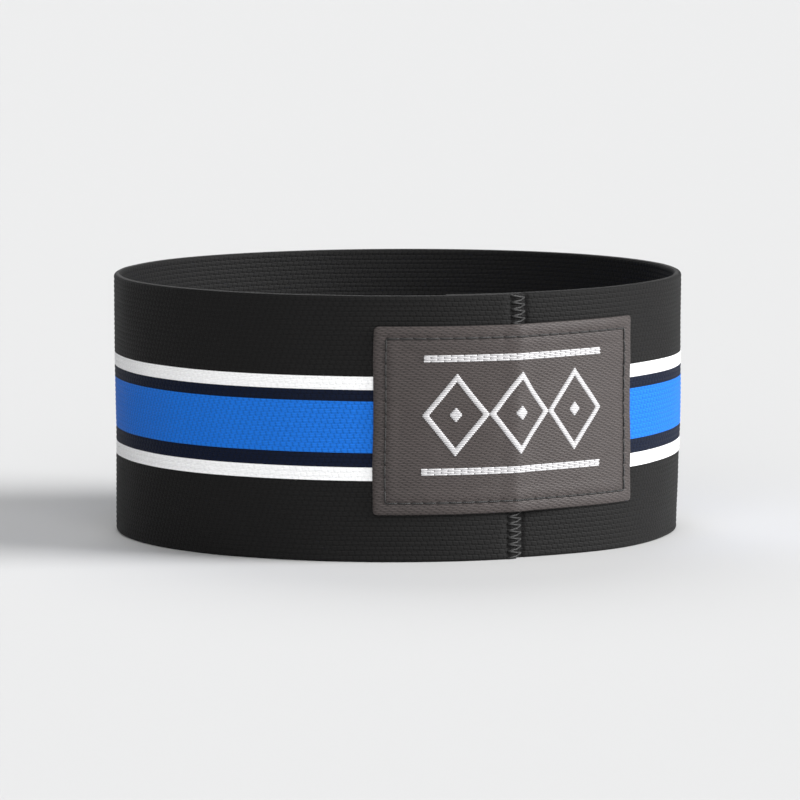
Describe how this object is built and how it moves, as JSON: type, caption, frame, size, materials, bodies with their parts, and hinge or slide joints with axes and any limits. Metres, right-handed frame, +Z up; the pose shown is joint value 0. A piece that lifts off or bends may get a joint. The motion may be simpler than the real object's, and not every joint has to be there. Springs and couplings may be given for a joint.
{
  "type": "bicep band",
  "caption": "Wide striped elastic band worn round the upper arm: a ring of woven webbing with a woven label sewn over its lap join.",
  "frame": {"origin": "on the surface that the band rests on, under the middle of its bounding box", "axes": "+Z up along the ring's axis, from the lower edge to the edge that is nearer the shoulder when worn; -Y out through the middle of the label; +X to the right for someone who faces the label"},
  "size_m": [0.1108, 0.108, 0.05],
  "materials": {
    "elastic_black": "black woven elastic webbing, matt with a faint sheen",
    "label_charcoal": "densely woven charcoal label, slightly glossy",
    "motif_thread": "silver-white rayon thread, satin",
    "sewing_thread": "black polyester sewing thread, satin"
  },
  "bodies": {
    "root": {"elastic_band": "elastic_black", "label": "label_charcoal"}
  },
  "joints": []
}
